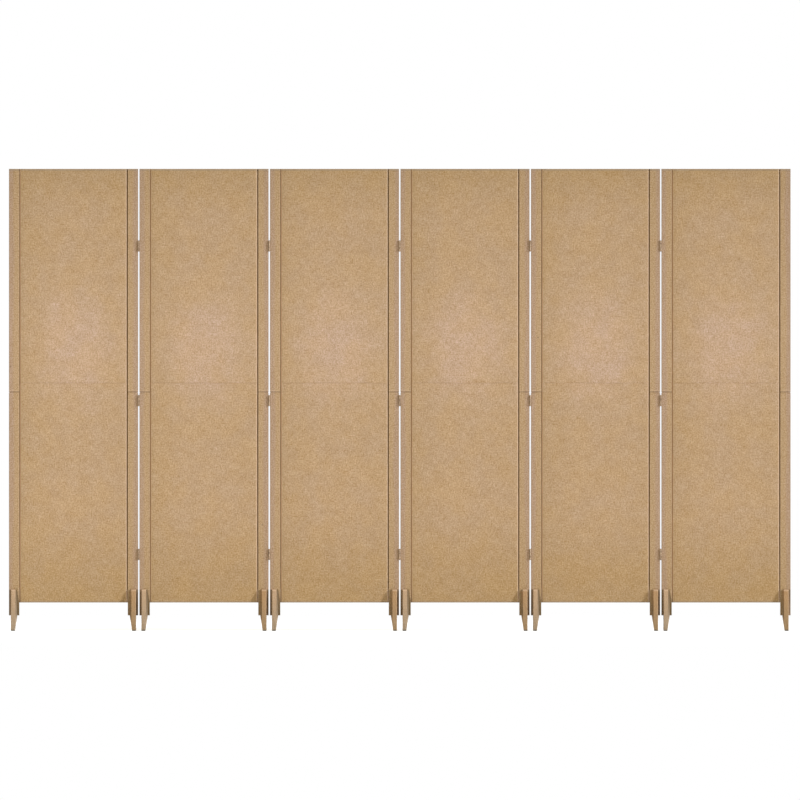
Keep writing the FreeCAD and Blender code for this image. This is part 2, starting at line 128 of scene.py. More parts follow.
class BoardSettings(bpy.types.PropertyGroup):
    """The cloth-faced boards."""
    stile_width: length("Stile width", "Width of the stile that each board stands beside", 0.040)
    shadow_gap: length("Shadow gap", "Width of the dark line between a board and its stile", 0.0045)
    tongue_depth: length("Tongue depth", "Thickness of the tongue that slides into the stile", 0.008)
    edge_radius: length("Edge radius", "How far the cloth rounds over the edge of the board", 0.0016)
    row_step: length("Row step", "Height of one row of the cloth's relief", 0.0021)
    column_step: length("Column step", "Width of one column of the cloth's relief", 0.012)
    wave_height: length("Wave height", "How far the cloth lifts and dips over the board", 0.00022)
    slub_height: length("Slub height", "How far a thick place in a thread stands up", 0.0002)
    slub_count: IntProperty(name="Slubs", description="Thick places in the threads of one board",
                            default=420, min=0)
    thread_pitch: length("Thread pitch", "From one thread of the weave to the next", 0.0013)
    # Cloth middle and cloth ends carry a painted light falloff: paler at middle height, browner toward the
    # top and bottom. The cloud is painted light as well, with a pinker tint.
    middle: tint("Cloth middle", "Cloth at the middle height of the screen", (0.572, 0.380, 0.215))
    ends: tint("Cloth ends", "Cloth at the top and the bottom, a little browner", (0.448, 0.287, 0.128))
    cloud: tint("Cloth cloud", "The paler, pinker cloud in the upper board", (0.625, 0.423, 0.285))
    mottle_depth: share("Mottle depth", "How far the blotches change the tone", 0.065)
    fibre_depth: share("Fibre depth", "How far the speckle of fibres changes the tone", 0.42)
    # Painted shade between the threads of the weave
    hollow_shade: tint("Hollow shade", "Between the threads of the weave", (0.30, 0.185, 0.090))
    hollow_shade_amount: share("Hollow shade amount", "How much of that colour the hollows take", 0.30)
    # Painted highlight: the pale line along the sides of a board
    edge_highlight: tint("Edge highlight", "The pale line along the sides of a board", (0.84, 0.62, 0.42))
    # Painted light and shade on the tongues in the grooves: paler by the board, dark where the tongue enters
    # the stile, darker in the right half
    tongue_light_left: tint("Left tongue light", "Tongue close to the board, left half", (0.95, 0.66, 0.38))
    tongue_light_right: tint("Right tongue light", "Tongue close to the board, right half", (0.80, 0.56, 0.31))
    groove_shade_left: tint("Left groove shade", "Tongue where it enters the stile, left half", (0.44, 0.27, 0.115))
    groove_shade_right: tint("Right groove shade", "Tongue where it enters the stile, right half", (0.22, 0.115, 0.030))


class VeneerSettings(bpy.types.PropertyGroup):
    """The stiles and the feet."""
    stile: tint("Stile", "Veneer along the inner side of a stile", (0.478, 0.312, 0.160))
    stile_outer: tint("Stile outer side", "The pinker, greyer veneer along the outer side",
                      (0.445, 0.292, 0.180))
    # Painted light falloff: the stile's colour is multiplied by this toward the top and the bottom
    stile_falloff_shade: tint("Stile falloff shade", "What a stile's colour is multiplied by at the top and the bottom",
                     (0.88, 0.87, 0.80))
    stile_fibre: share("Stile fibre depth", "How far fleck and grain change the stile's tone", 0.26)
    seam: tint("Seam", "The dark line where two stile halves meet, and the pin knots", (0.16, 0.10, 0.05))
    side_shade: tint("Shaded side", "The stile's edge along the gap", (0.34, 0.235, 0.145))
    foot: tint("Foot", "Veneer of a left foot at its top", (0.475, 0.311, 0.170))
    foot_low: tint("Foot low", "Veneer of a left foot near the floor", (0.355, 0.254, 0.150))
    # Painted shade: a right foot is darker and yellower than a left one
    right_foot_shade: tint("Right foot shade", "What that colour is multiplied by on a right foot", (0.86, 0.76, 0.59))
    foot_fibre: share("Foot fibre depth", "How far fleck and grain change the foot's tone", 0.24)
    foot_bevel: length("Foot bevel", "Width of the bevel along a foot's inner side", 0.0065)
    # Painted shade on a left foot's bevel
    bevel_shade: tint("Bevel shade", "What a left foot's colour is multiplied by on its bevel",
                        (0.28, 0.245, 0.115))
    # Painted contact shade where the foot meets the floor
    sole: tint("Sole", "The dark line just over the floor", (0.095, 0.082, 0.055))
    # Painted shade on the stile's end beside each foot, in the fork
    forked: tint("Fork shade", "What the stile's colour is multiplied by inside the fork of a foot",
                 (0.36, 0.36, 0.29))
    # Pale wear, and painted highlight where an edge or the top of a foot catches the light
    wear_and_highlight: tint("Pale wear and highlight", "Veneer where an edge has rubbed pale", (0.680, 0.475, 0.300))
    wear_width: length("Wear width", "How far the wear reaches from an edge", 0.0022)
    grain_width: length("Grain width", "Width of one streak of the grain", 0.0022)
    grain_length: length("Grain length", "Length of one streak of the grain", 0.060)


class MetalSettings(bpy.types.PropertyGroup):
    """The hinges and their screws."""
    bronze: tint("Bronze", "Antique bronze of leaves, knuckles and pins", (0.42, 0.31, 0.20))
    patina: tint("Patina", "Darker patina in the hollows", (0.27, 0.19, 0.12))
    steel: tint("Screw steel", "Bronzed steel of the screws", (0.44, 0.345, 0.24))
    roughness: share("Roughness", "How satin the bronze is", 0.42)
    screw_polish: share("Screw polish", "How much smoother the screws are", 0.08)


class StageSettings(bpy.types.PropertyGroup):
    """The camera, the lamps and the floor."""
    camera_distance: length("Camera distance", "From the camera to the middle of the screen", 90.0)
    picture_width: length("Picture width", "Width of the view where the screen stands", 3.1146)
    camera_side: length("Camera side", "How far the camera stands to the right of the middle", 0.0009)
    camera_height: length("Camera height", "Height of the level camera", 0.8983)
    side_strength: power("Side lamp", "The lamp from the right, in front", 3.2)
    front_strength: power("Front lamp", "The lamp over the camera", 0.75)
    rear_strength: power("Rear lamp", "The softer lamp from behind", 1.4)
    sky_strength: power("Sky", "The even light from all around", 0.37)
    cool: tint("Side lamp colour", "The side lamp is a little cool", (0.77, 0.83, 1.0))
    warm: tint("Even light colour", "The rest of the light is a little warm, so that together they are white",
               (1.0, 0.97, 0.89))
    floor: tint("Floor", "The pale floor", (0.82, 0.82, 0.81))
    floor_glow: share("Floor glow", "Light of its own that the floor shows to the camera", 0.51)
    floor_radius: length("Floor radius", "Where the floor has faded into the background", 6.0)


class Wiring:
    """A node tree being laid out, with one short call for each kind of node the finishes use."""

    def __init__(self, tree):
        self.tree = tree

    def feed(self, socket, value):
        if isinstance(value, bpy.types.NodeSocket):
            self.tree.links.new(value, socket)
        else:
            socket.default_value = value

    def node(self, kind, inputs=None, **settings):
        made = self.tree.nodes.new(kind)
        for name, value in settings.items():
            setattr(made, name, value)
        for name, value in (inputs or {}).items():
            self.feed(made.inputs[name], value)
        return made

    def maths(self, operation, *values):
        made = self.node("ShaderNodeMath", operation=operation)
        for socket, value in zip(made.inputs, values):
            self.feed(socket, value)
        return made.outputs[0]

    def total(self, *values):
        result = values[0]
        for value in values[1:]:
            result = self.maths("ADD", result, value)
        return result

    def product(self, *values):
        result = values[0]
        for value in values[1:]:
            result = self.maths("MULTIPLY", result, value)
        return result

    def less(self, value, taken):
        return self.maths("SUBTRACT", value, taken)

    def reach(self, x, y):
        """The length of a line that goes x one way and y the other: the root of x x + y y."""
        return self.maths("SQRT", self.total(self.product(x, x), self.product(y, y)))

    def between(self, factor, first, second):
        """A number that goes from first to second as the factor goes from 0 to 1."""
        return self.total(first, self.product(factor, self.less(second, first)))

    def rise(self, value, start, end, low=0.0, high=1.0):
        """Goes smoothly from low to high as the value goes from start to end, and stays there beyond."""
        return self.node("ShaderNodeMapRange", interpolation_type="SMOOTHSTEP",
                         inputs={"Value": value, "From Min": start, "From Max": end,
                                 "To Min": low, "To Max": high}).outputs[0]

    def mix(self, factor, first, second, kind="MIX"):
        made = self.node("ShaderNodeMix", data_type="RGBA", blend_type=kind)
        sockets = {s.identifier: s for s in made.inputs}
        for name, value in (("Factor_Float", factor), ("A_Color", first), ("B_Color", second)):
            self.feed(sockets[name], opaque(value))
        return next(s for s in made.outputs if s.identifier == "Result_Color")

    def scaled(self, place, x, y, z):
        return self.node("ShaderNodeMapping", inputs={"Vector": place, "Scale": (x, y, z)}).outputs[0]

    def noise(self, place, scale, detail=2.0, roughness=0.5):
        return self.node("ShaderNodeTexNoise", inputs={
            "Vector": place, "Scale": scale, "Detail": detail, "Roughness": roughness}).outputs[0]

    def split(self, place):
        return self.node("ShaderNodeSeparateXYZ", inputs={"Vector": place}).outputs

    def joined(self, x, y, z):
        return self.node("ShaderNodeCombineXYZ", inputs={"X": x, "Y": y, "Z": z}).outputs[0]

    def bump(self, height, distance, strength=1.0):
        return self.node("ShaderNodeBump", inputs={"Height": height, "Distance": distance,
                                                   "Strength": strength}).outputs[0]

    def group(self, tree, **inputs):
        made = self.node("ShaderNodeGroup", node_tree=tree)
        for name, value in inputs.items():
            self.feed(made.inputs[name.replace("_", " ").capitalize()], value)
        return made.outputs


def opaque(value):
    """A colour of three numbers gets its fourth, and anything else stays as it is."""
    if isinstance(value, (bpy.types.NodeSocket, float, int)):
        return value
    return (*value, 1.0) if len(value) == 3 else value


def shared_effect(name, inputs, outputs, lay_out):
    """A node group with named sockets. lay_out takes the wiring and the inputs, and gives the outputs."""
    known = bpy.data.node_groups.get(name)
    if known:
        return known
    tree = bpy.data.node_groups.new(name, "ShaderNodeTree")
    for socket, kind in inputs.items():
        tree.interface.new_socket(name=socket, in_out="INPUT", socket_type="NodeSocket" + kind)
    for socket, kind in outputs.items():
        tree.interface.new_socket(name=socket, in_out="OUTPUT", socket_type="NodeSocket" + kind)
    wiring = Wiring(tree)
    source = tree.nodes.new("NodeGroupInput")
    sink = tree.nodes.new("NodeGroupOutput")
    for socket, value in lay_out(wiring, source.outputs).items():
        wiring.feed(sink.inputs[socket], value)
    return tree


def place_on_panel():
    """Where a point lies on its panel: metres from the nearest gap, which half, the painted light that is
    strongest at the middle height and fades toward the ends, and whether it is on the dark band along the top
    or bottom edge.

    The distance from the gap folds the run of panels back and forth, so every panel reads the same.
    """
    def lay_out(w, given):
        x, _, z = w.split(given["Place"])
        from_gap = w.maths("PINGPONG", w.maths("ABSOLUTE", x), PITCH / 2)
        from_bottom = w.less(z, BOARD_LOW.z)
        under_top = w.total(w.product(w.less(SCREEN_TOP, z), 1.4), 0.10)
        from_end = w.maths("MINIMUM", under_top, from_bottom)
        from_middle = w.maths("ABSOLUTE", w.less(z, LIGHT_POOL_HEIGHT))
        # Painted light: strongest at the middle height, fading toward the top and the bottom
        middle = w.total(w.rise(from_end, -0.06, LIGHT_POOL_REACH, 0.0, 0.70),
                         w.rise(from_middle, LIGHT_POOL_REACH, 0.0, 0.0, 0.30))
        # A dark band along the top edge, and painted shade along the bottom edge
        at_top = w.rise(z, SCREEN_TOP - 0.010, SCREEN_TOP - 0.004)
        at_bottom = w.rise(from_bottom, 0.009, 0.003)
        right_half = w.maths("GREATER_THAN", w.maths("FLOORED_MODULO", x, PITCH), PITCH / 2)
        return {"From gap": from_gap, "Right half": right_half, "Middle": middle,
                "Dark edge": w.maths("MAXIMUM", at_top, at_bottom)}
    outputs = ("From gap", "Right half", "Middle", "Dark edge")
    return shared_effect("Place on panel", {"Place": "Vector"}, dict.fromkeys(outputs, "Float"), lay_out)


def fibre_tone():
    """Light and dark flecks and streaks of fibre round 0.5: a fine speckle and streaks along and across."""
    def lay_out(w, given):
        place = given["Place"]
        x, y, z = w.split(place)
        fine = w.maths("DIVIDE", 1.0, given["Streak width"])
        coarse = w.maths("DIVIDE", 1.0, given["Streak length"])
        flat = w.joined(w.product(x, coarse), w.product(y, fine), w.product(z, coarse))
        upright = w.joined(w.product(x, fine), w.product(y, coarse), w.product(z, fine))
        grains = {"Fleck": w.noise(place, w.maths("DIVIDE", 1.0, given["Fleck size"]), 2.0, 0.65),
                  "Across": w.noise(flat, 1.0, 1.0),
                  "Along": w.noise(upright, 1.0, 1.0)}
        parts = [w.product(w.less(grain, 0.5), given[name]) for name, grain in grains.items()]
        return {"Tone": w.total(0.5, *parts)}
    numbers = ("Fleck size", "Streak width", "Streak length", "Fleck", "Across", "Along")
    return shared_effect("Fibre tone", {"Place": "Vector", **dict.fromkeys(numbers, "Float")},
                         {"Tone": "Float"}, lay_out)


def plain_weave():
    """The height of a plain weave, from 0 in the hollows to 1 where one thread crosses over another.

    Warp and weft are rows of half-round threads, and each dips where the other crosses on top. The
    height is half of the larger of |sin u| (1 + sin v sign(sin u)) and |sin v| (1 - sin u sign(sin v)).
    """
    def lay_out(w, given):
        u, v, _ = w.split(given["Place"])
        turn = w.maths("DIVIDE", math.pi, given["Pitch"])
        wave_u = w.maths("SINE", w.product(u, turn))
        wave_v = w.maths("SINE", w.product(v, turn))
        warp = w.product(w.maths("ABSOLUTE", wave_u),
                         w.total(1.0, w.product(wave_v, w.maths("SIGN", wave_u))))
        weft = w.product(w.maths("ABSOLUTE", wave_v),
                         w.less(1.0, w.product(wave_u, w.maths("SIGN", wave_v))))
        return {"Height": w.product(w.maths("MAXIMUM", warp, weft), 0.5)}
    return shared_effect("Plain weave", {"Place": "Vector", "Pitch": "Float"}, {"Height": "Float"}, lay_out)


def edge_wear_and_highlight():
    """A broken mask, strongest on the edge and gone at the wear width, and kept off the side faces."""
    def lay_out(w, given):
        sideways, _, _ = w.split(w.node("ShaderNodeTexCoord").outputs["Normal"])
        facing = w.rise(w.maths("ABSOLUTE", sideways), 0.95, 0.75)
        near = w.less(1.0, w.maths("DIVIDE", given["Distance"], given["Width"]))
        broken = w.rise(w.noise(given["Place"], 90.0, 3.0, 0.6), 0.42, 0.60)
        mask = w.product(w.maths("MAXIMUM", near, 0.0), w.between(broken, 0.35, 1.0), facing)
        return {"Pale edge": w.maths("MINIMUM", mask, 1.0)}
    return shared_effect("Edge wear and highlight", {"Distance": "Float", "Width": "Float", "Place": "Vector"},
                         {"Pale edge": "Float"}, lay_out)


def finish(name):
    """A new material's wiring and its surface shader, ready for its colours."""
    material = bpy.data.materials.new(name)
    material.use_nodes = True
    wiring = Wiring(material.node_tree)
    surface = material.node_tree.nodes["Principled BSDF"]
    return material, wiring, surface


def toned(w, colour, tone, depth):
    """A colour made darker and yellower, or paler and greyer, as the tone goes under or over one half."""
    lean = (0.70, 0.93, 1.50)
    dark = tuple(1 - depth * channel for channel in lean)
    pale = tuple(1 + depth * channel for channel in lean)
    return w.mix(1.0, colour, w.mix(tone, dark, pale), "MULTIPLY")


def shaded_by(w, amount, colour, stain):
    """A colour multiplied by a painted shade, as far as the amount says."""
    return w.mix(amount, colour, w.mix(1.0, colour, stain, "MULTIPLY"))


def cloth_ground(w, s, panel, z, weave_place):
    """Cloth with painted light: paler at middle height and in a drifting pale cloud, browner to its ends and
    sides; then blotches and uneven dye.
    """
    # Painted light falloff: paler at middle height and in the cloud, browner toward the ends
    ground = w.mix(panel["Middle"], s.ends, s.middle)
    ring = w.reach(w.maths("DIVIDE", w.less(panel["From gap"], CLOUD_SIDE), CLOUD_REACH_ACROSS),
                   w.maths("DIVIDE", w.less(z, CLOUD_HEIGHT), CLOUD_REACH_UP))
    drift = w.less(w.noise(weave_place, 9.0, 3.0), 0.5)
    ground = w.mix(w.rise(w.total(ring, w.product(drift, 1.6)), 1.25, 0.25, 0.0, 0.5), ground, s.cloud)
    # Painted light falloff: browner beside the stiles, more so in the left half
    beside_stile = w.rise(panel["From gap"], PITCH * 0.40, PITCH * 0.08)
    ground = w.mix(w.product(beside_stile, w.between(panel["Right half"], 0.32, 0.10)), ground, s.ends)
    mottle = w.noise(weave_place, 22.0, 4.0, 0.6)
    ground = toned(w, ground, w.rise(mottle, 0.25, 0.75), s.mottle_depth)
    dye = w.rise(w.noise(w.scaled(weave_place, 1.0, 0.8, 1.0), 10.0, 2.0, 0.55), 0.32, 0.68)
    return w.mix(1.0, ground, w.mix(dye, (1.012, 1.0, 0.952), (0.988, 1.0, 1.048)), "MULTIPLY")


def cloth_borders(w, s, panel, z, ground):
    """The painted highlight along a board's sides, its dark top and bottom edges, and the painted light and
    shade of its tongues in the grooves.
    """
    past_stile = w.less(panel["From gap"], HALF_GAP + s.stile_width)
    # Painted highlight: a pale line along the board's sides, stronger in the right half
    line = w.rise(past_stile, s.shadow_gap + 0.004, s.shadow_gap + 0.0005)
    ground = w.mix(w.product(line, w.between(panel["Right half"], 0.3, 0.8)), ground, s.edge_highlight)
    # Darker along the top edge, and painted shade along the bottom edge
    ground = w.mix(w.product(panel["Dark edge"], 0.45), ground, DARK_EDGE)
    # Painted shade and light in the grooves: dark by the stile, paler by the board, darker in the right half,
    # gone below the top of the foot
    by_stile = w.rise(past_stile, s.shadow_gap * 0.80, s.shadow_gap * 0.55)
    tongue = w.mix(by_stile, w.mix(panel["Right half"], s.tongue_light_left, s.tongue_light_right),
                   w.mix(panel["Right half"], s.groove_shade_left, s.groove_shade_right))
    on_tongue = w.maths("LESS_THAN", past_stile, s.shadow_gap * 0.98)
    over_foot = w.rise(z, FOOT_HIGH.z - 0.006, FOOT_HIGH.z + 0.006)
    return w.mix(w.product(on_tongue, over_foot), ground, tongue)


def cloth_finish(s):
    """Jute and linen cloth: plain weave, slubs both ways, a fine speckle, painted shade in the weave's
    hollows, and a cloudy, hand-dyed ground with a painted light falloff.
    """
    material, w, surface = finish("woven cloth")
    here = w.node("ShaderNodeTexCoord").outputs["Object"]
    weave_place = w.node("ShaderNodeUVMap", uv_map="cloth").outputs[0]
    panel = w.group(place_on_panel(), place=here)
    z = w.split(here)["Z"]
    fibre = w.group(fibre_tone(), place=w.scaled(weave_place, 1.0, 0.82, 1.0), fleck_size=0.0048,
                    streak_width=0.0028, streak_length=0.018, fleck=1.6, across=0.45, along=0.7)
    weave = w.group(plain_weave(), place=weave_place, pitch=s.thread_pitch)
    ground = cloth_ground(w, s, panel, z, weave_place)
    ground = toned(w, ground, fibre["Tone"], s.fibre_depth)
    # Painted shade in the hollows between the threads
    ground = w.mix(w.rise(weave["Height"], 0.0, 0.55, s.hollow_shade_amount, 0.0), ground, s.hollow_shade)
    ground = cloth_borders(w, s, panel, z, ground)
    w.feed(surface.inputs["Base Color"], ground)
    w.feed(surface.inputs["Roughness"], w.rise(fibre["Tone"], 0.2, 0.8, 0.93, 0.80))
    relief = w.total(weave["Height"], w.product(fibre["Tone"], 1.2))
    w.feed(surface.inputs["Normal"], w.bump(relief, 0.00022, 0.55))
    surface.inputs["Sheen Weight"].default_value = 0.08
    surface.inputs["Sheen Roughness"].default_value = 0.5
    surface.inputs["Specular IOR Level"].default_value = 0.25
    return material


def upright_grain(w, s, here, **amounts):
    """Fleck and grain that runs up the veneer, on whichever face it lies."""
    x, y, z = w.split(here)
    return w.group(fibre_tone(), place=w.joined(w.total(x, y), z, 0.0),
                   streak_width=s.grain_width, streak_length=s.grain_length, **amounts)


def joint_marks(w, s, z, ground):
    """A dark line and a pale lip over it, where the upper half of a stile stands on the lower one."""
    over_seam = w.less(z, STILE_SEAM)
    line = w.product(w.rise(over_seam, 0.0005, 0.0015), w.rise(over_seam, 0.0060, 0.0050), 0.36)
    lip = w.product(w.rise(over_seam, 0.0050, 0.0064), w.rise(over_seam, 0.0115, 0.0095), 0.22)
    return w.mix(lip, w.mix(line, ground, s.seam), s.wear_and_highlight)


def fork_painted_shade(w, panel, z, inside, inner, stile_width):
    """How far painted shade darkens the stile's end in the fork of its foot, shaped like the foot's cast
    shadow, and a painted shadow line just over the foot.
    """
    down = w.rise(z, FOOT_HIGH.z, STILE_BOTTOM)
    spread = w.rise(z, FOOT_HIGH.z, STILE_BOTTOM + 0.045, stile_width * 0.80, stile_width * 1.02)
    left = w.product(w.total(0.62, w.product(down, w.total(0.10, w.product(inner, 0.28)))),
                     w.rise(w.less(inside, spread), 0.003, -0.002))
    right = w.total(0.75, w.product(inner, -0.45), w.product(down, w.between(inner, -0.40, 0.25)))
    # Painted shade beside the foot, within the fork
    shade_in_fork = w.product(w.rise(z, FOOT_HIGH.z + 0.001, FOOT_HIGH.z - 0.002),
                        w.between(panel["Right half"], left, right))
    from_foot = w.maths("ABSOLUTE", w.less(inside, stile_width * 0.52))
    # A painted shadow line on the stile just over the top of the foot
    over_foot = w.product(w.rise(z, FOOT_HIGH.z + 0.007, FOOT_HIGH.z + 0.003), 0.16,
                          w.rise(from_foot, 0.013, 0.010))
    return w.maths("MAXIMUM", shade_in_fork, over_foot)


def stile_finish(s, stile_width):
    """Sand-coloured veneer with upright grain: pinker and greyer to the outside, pale on its edges with wear
    and painted highlight, with a painted light falloff and painted shade in the fork of each foot.
    """
    material, w, surface = finish("stile veneer")
    here = w.node("ShaderNodeTexCoord").outputs["Object"]
    panel = w.group(place_on_panel(), place=here)
    z = w.split(here)["Z"]
    fibre = upright_grain(w, s, here, fleck_size=0.0048, fleck=3.8, across=0.5, along=1.2)
    inside = w.less(panel["From gap"], HALF_GAP)
    inner = w.rise(inside, stile_width * 0.5, stile_width * 0.9)
    wander = w.product(w.less(w.noise(w.scaled(here, 6.0, 6.0, 2.2), 1.0, 2.0), 0.5), 0.03)
    outer = w.rise(w.total(inside, wander), stile_width * 0.62, stile_width * 0.25)
    ground = w.mix(outer, s.stile, s.stile_outer)
    # Painted light falloff: the stile darker toward the top and the bottom
    ground = w.mix(1.0, ground, w.mix(panel["Middle"], s.stile_falloff_shade, (1.04, 1.04, 1.04)), "MULTIPLY")
    ground = toned(w, ground, fibre["Tone"], s.stile_fibre)
    knots = w.node("ShaderNodeTexVoronoi", inputs={"Vector": w.scaled(here, 1.0, 1.0, 0.72), "Scale": 9.0})
    ground = w.mix(w.rise(knots.outputs["Distance"], 0.030, 0.012, 0.0, 0.75), ground, s.seam)
    from_edge = w.maths("MAXIMUM", w.maths("MINIMUM", inside, w.less(stile_width, inside)), 0.0)
    pale_edge = w.group(edge_wear_and_highlight(), distance=from_edge, width=s.wear_width, place=here)
    # Pale wear and painted highlight along the stile's edges, more on the inner edge
    ground = w.mix(w.product(pale_edge["Pale edge"], w.between(inner, 0.25, 0.75)), ground, s.wear_and_highlight)
    ground = w.mix(w.rise(inside, s.wear_width * 1.8, 0.0, 0.0, 0.75), ground, s.side_shade)
    ground = joint_marks(w, s, z, ground)
    # A darker line along the stile's top edge
    at_top = w.product(panel["Dark edge"], w.rise(z, BOARD_SEAM, SCREEN_TOP), 0.45)
    ground = w.mix(at_top, ground, DARK_EDGE)
    # Painted shade on the stile's end beside each foot
    ground = shaded_by(w, fork_painted_shade(w, panel, z, inside, inner, stile_width), ground, s.forked)
    w.feed(surface.inputs["Base Color"], ground)
    w.feed(surface.inputs["Roughness"], w.rise(fibre["Tone"], 0.2, 0.8, 0.66, 0.52))
    w.feed(surface.inputs["Normal"], w.bump(fibre["Tone"], 0.00012, 0.5))
    surface.inputs["Specular IOR Level"].default_value = 0.3
    return material


def foot_finish(s):
    """The feet's veneer: pale wear and painted highlight on its outer edge and top, painted shade on its
    bevel, along the sole and over a right foot.
    """
    material, w, surface = finish("foot veneer")
    here = w.node("ShaderNodeTexCoord").outputs["Object"]
    panel = w.group(place_on_panel(), place=here)
    z = w.split(here)["Z"]
    fibre = upright_grain(w, s, here, fleck_size=0.0045, fleck=1.5, across=0.25, along=1.3)
    ground = w.mix(w.rise(z, 0.0, FOOT_HIGH.z), s.foot_low, s.foot)
    # Painted shade: a right foot darker and yellower
    ground = shaded_by(w, panel["Right half"], ground, s.right_foot_shade)
    ground = toned(w, ground, fibre["Tone"], s.foot_fibre)
    outer_edge = HALF_GAP + FOOT_LOW.x - STILE_LOW.x
    from_edge = w.maths("ABSOLUTE", w.less(panel["From gap"], outer_edge))
    pale_edge = w.group(edge_wear_and_highlight(), distance=from_edge, width=s.wear_width, place=here)
    # Pale wear and painted highlight along the foot's outer edge
    ground = w.mix(w.product(pale_edge["Pale edge"], 0.5), ground, s.wear_and_highlight)
    # Painted highlight along the lit top of the foot
    ground = w.mix(w.rise(z, FOOT_HIGH.z - 0.009, FOOT_HIGH.z - 0.004, 0.0, 0.5), ground, s.wear_and_highlight)
    # Painted shade on the foot's inner bevel; a right foot takes the fork's painted shade
    bevel_start = HALF_GAP + FOOT_HIGH.x - STILE_LOW.x - s.foot_bevel
    on_bevel = w.product(w.rise(panel["From gap"], bevel_start - 0.0005, bevel_start + 0.0010),
                         w.rise(z, 0.030, 0.075))
    down = w.rise(z, FOOT_HIGH.z, STILE_BOTTOM)
    depth = w.between(panel["Right half"], w.between(down, 1.0, 0.75), w.between(down, 0.35, 0.75))
    ground = shaded_by(w, w.product(on_bevel, depth), ground,
                     w.mix(panel["Right half"], s.bevel_shade, s.forked))
    # Painted contact shade: a dark, ragged line along the foot just over the floor
    ragged = w.less(w.noise(w.scaled(here, 60.0, 60.0, 25.0), 1.0, 3.0), 0.5)
    sole_shade = w.rise(w.total(z, w.product(ragged, 0.002)), 0.0052, 0.0040, 0.0, 0.9)
    ground = w.mix(sole_shade, ground, s.sole)
    w.feed(surface.inputs["Base Color"], ground)
    w.feed(surface.inputs["Roughness"], w.rise(fibre["Tone"], 0.2, 0.8, 0.62, 0.48))
    w.feed(surface.inputs["Normal"], w.bump(fibre["Tone"], 0.00012, 0.5))
    surface.inputs["Specular IOR Level"].default_value = 0.35
    return material


def metal_finish(name, bright, dark, roughness):
    """Satin metal with a cloudy patina, brushed upright and darker in small pits."""
    material, w, surface = finish(name)
    here = w.node("ShaderNodeTexCoord").outputs["Object"]
    cloud = w.rise(w.noise(here, 160.0, 4.0, 0.6), 0.36, 0.62)
    pits = w.rise(w.noise(here, 900.0, 2.0), 0.62, 0.72)
    brushed = w.noise(w.scaled(here, 2600.0, 2600.0, 60.0), 1.0, 2.0)
    polished = w.product(cloud, w.between(pits, 1.0, 0.3))
    w.feed(surface.inputs["Base Color"], w.mix(polished, dark, bright))
    streaks = w.rise(brushed, 0.3, 0.7, roughness - 0.06, roughness + 0.06)
    w.feed(surface.inputs["Roughness"], w.total(w.between(polished, 0.22, 0.0), streaks))
    w.feed(surface.inputs["Normal"], w.bump(w.less(brushed, pits), 0.00003, 0.5))
    surface.inputs["Metallic"].default_value = 1.0
    return material


def cloth_relief(across, up, settings, draw):
    """How far the cloth stands off its board, for every row and column.

    It is a sum of slow waves, each a cosine of a slanted line, and of slubs, each a low ridge
    exp(-(x/length)^2 - (z/width)^2) along a thread. It fades to nothing at the board's edges.
    """
    waves = np.zeros((up.size, across.size))
    for _ in range(WAVE_COUNT):
        reach_x = draw.uniform(*WAVE_WIDTHS)
        reach_z = draw.uniform(*WAVE_HEIGHTS)
        start = draw.uniform(0, 2 * math.pi)
        turns = across[None, :] / reach_x + up[:, None] / reach_z
        waves += np.cos(2 * math.pi * turns + start) / WAVE_COUNT
    count = settings.slub_count
    centre_x = draw.uniform(across[0], across[-1], count)
    centre_z = draw.uniform(up[0], up[-1], count)
    reach = draw.uniform(*SLUB_LENGTHS, count)
    width = draw.uniform(*SLUB_WIDTHS, count)
    strength = draw.uniform(*SLUB_STRENGTHS, count)
    ridge_x = np.exp(-((across[:, None] - centre_x) / reach) ** 2)
    ridge_z = np.exp(-((up[:, None] - centre_z) / width) ** 2)
    slubs = np.minimum((ridge_z * strength) @ ridge_x.T, 1.0)

    def fade(line):
        inward = np.minimum(line - line[0], line[-1] - line) / RELIEF_FADE
        return np.clip(inward, 0, 1) ** 2

    height = settings.wave_height * waves + settings.slub_height * slubs
    return height * fade(up)[:, None] * fade(across)[None, :]


def quarter_turn(radius, steps=3):
    """A rounded edge without its last point: how far in from the edge, and how far under the face."""
    angle = np.linspace(0, math.pi / 2, steps + 1)[:-1]
    return radius * (1 - np.cos(angle)), radius * (1 - np.sin(angle))


def spaced(start, end, step):
    return np.linspace(start, end, max(int(round((end - start) / step)), 1) + 1)


